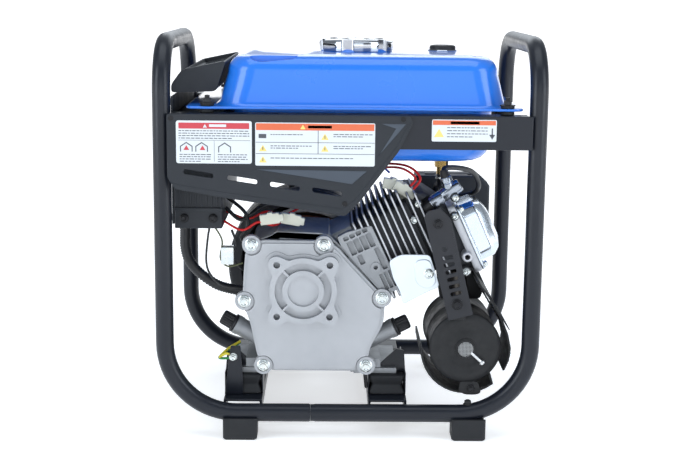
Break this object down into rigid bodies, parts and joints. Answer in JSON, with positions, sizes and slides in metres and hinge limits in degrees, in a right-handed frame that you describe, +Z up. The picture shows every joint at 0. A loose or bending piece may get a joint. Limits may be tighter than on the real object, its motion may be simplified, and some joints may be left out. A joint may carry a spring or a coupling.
{
  "type": "portable generator",
  "caption": "Open-frame portable generator with tube frame, fuel tank, tilted single-cylinder engine, muffler, recoil starter and control panel.",
  "frame": {"origin": "on the floor, midway between the frame ends and sides", "axes": "+X from the control panel to the muffler, +Y from the crankcase cover to the recoil starter, +Z up"},
  "size_m": [0.47, 0.341, 0.493],
  "materials": {
    "black_paint": "satin powder coat",
    "black_rubber": "matt moulded rubber",
    "black_plastic": "fine moulded texture",
    "grey_plastic": "satin",
    "red_plastic": "gloss",
    "cast_alloy": "die cast, blasted",
    "chrome": "polished",
    "zinc_steel": "bright zinc",
    "heat_black": "matt heat-proof paint",
    "steel": "machined",
    "copper": "enamelled copper windings",
    "brass": "turned",
    "blue_paint": "gloss paint"
  },
  "bodies": {
    "generator": {"air_filter_box": "black_plastic", "carburettor": "cast_alloy", "console": "black_plastic", "control_box": "black_plastic", "control_panel": "black_plastic", "crankcase_cover": "cast_alloy", "cylinder_head": "cast_alloy", "engine_block": "cast_alloy", "engine_mount_front_left": "black_rubber", "engine_mount_front_right": "black_rubber", "engine_mount_rear_left": "black_rubber", "engine_mount_rear_right": "black_rubber", "engine_rail_left": "black_paint", "engine_rail_right": "black_paint", "exhaust_pipe": "steel", "fan_housing": "black_plastic", "foot_front_left": "black_rubber", "foot_front_right": "black_rubber", "foot_rear_left": "black_rubber", "foot_rear_right": "black_rubber", "frame_left": "black_paint", "frame_right": "black_paint", "fuel_gauge": "black_plastic", "fuel_hose": "black_rubber", "fuel_tank": "blue_paint", "fuel_tap": "brass", "heat_deflector": "zinc_steel", "ignition_lead": "black_rubber", "inverter": "cast_alloy", "muffler": "heat_black", "muffler_guard": "heat_black", "muffler_screen": "heat_black", "muffler_strap": "black_paint", "outlet": "grey_plastic", "piston": "cast_alloy", "recoil_housing": "black_plastic", "rocker_cover": "chrome", "side_cover_front": "black_plastic", "side_cover_rear": "black_plastic", "spark_plug_cap": "chrome", "stator": "copper", "tank_bush_front_left": "black_rubber", "tank_bush_front_right": "black_rubber", "tank_bush_rear_left": "black_rubber", "tank_bush_rear_right": "black_rubber", "tank_rail_front": "black_paint", "tank_rail_rear": "black_paint", "wiring_loom": "black_rubber"},
    "cap": {"fuel_cap": "chrome"},
    "crank": {"crankshaft": "steel", "rotor": "steel"},
    "grip": {"starter_grip": "black_rubber"},
    "pulley": {"starter_pulley": "grey_plastic"},
    "engine_switch": {"engine_switch": "red_plastic"},
    "throttle_switch": {"throttle_switch": "grey_plastic"},
    "breaker_button": {"breaker_button": "grey_plastic"},
    "choke": {"choke_lever": "black_plastic"},
    "tap_lever": {"fuel_tap_lever": "black_plastic"},
    "oil_plug_left": {"oil_plug_left": "black_plastic"},
    "oil_plug_right": {"oil_plug_right": "black_plastic"}
  },
  "joints": [
    {"name": "cap_turn", "type": "hinge", "parent": "generator", "child": "cap", "pos_m": [0.009, -0.01, 0.468], "axis": [0, 0, 1], "range_deg": [0, 90]},
    {"name": "crank_spin", "type": "hinge", "parent": "generator", "child": "crank", "pos_m": [-0.0555, 0, 0.1815], "axis": [0, 1, 0], "continuous": true},
    {"name": "starter_pull", "type": "slide", "parent": "generator", "child": "grip", "axis": [1, 0, 0], "range_m": [0, 0.45], "stiffness_N_per_m": 20},
    {"name": "pulley_spin", "type": "hinge", "parent": "generator", "child": "pulley", "pos_m": [-0.0555, 0.111, 0.1815], "axis": [0, 1, 0], "range_deg": [0, 600]},
    {"name": "engine_switch_rock", "type": "hinge", "parent": "generator", "child": "engine_switch", "pos_m": [-0.2163, -0.05, 0.352], "axis": [0, 1, 0], "range_deg": [-10, 10]},
    {"name": "throttle_switch_rock", "type": "hinge", "parent": "generator", "child": "throttle_switch", "pos_m": [-0.2163, -0.05, 0.308], "axis": [0, 1, 0], "range_deg": [-10, 10]},
    {"name": "breaker_push", "type": "slide", "parent": "generator", "child": "breaker_button", "axis": [1, 0, 0], "range_m": [0, 0.003], "stiffness_N_per_m": 300},
    {"name": "choke_turn", "type": "hinge", "parent": "generator", "child": "choke", "pos_m": [0.1363, 0.024, 0.256], "axis": [1, 0, 0], "range_deg": [0, 60]},
    {"name": "tap_turn", "type": "hinge", "parent": "generator", "child": "tap_lever", "pos_m": [0.1263, -0.02, 0.328], "axis": [1, 0, 0], "range_deg": [0, 90]},
    {"name": "oil_plug_left_turn", "type": "hinge", "parent": "generator", "child": "oil_plug_left", "pos_m": [-0.14113, -0.098, 0.12974], "axis": [-0.867, 0, 0.4983], "range_deg": [0, 360]},
    {"name": "oil_plug_right_turn", "type": "hinge", "parent": "generator", "child": "oil_plug_right", "pos_m": [0.05935, -0.098, 0.12668], "axis": [0.8944, 0, 0.4472], "range_deg": [0, 360]}
  ],
  "couplings": [
    {"joint": "pulley_spin", "follows": "starter_pull", "rad_per_m": 22.727}
  ]
}
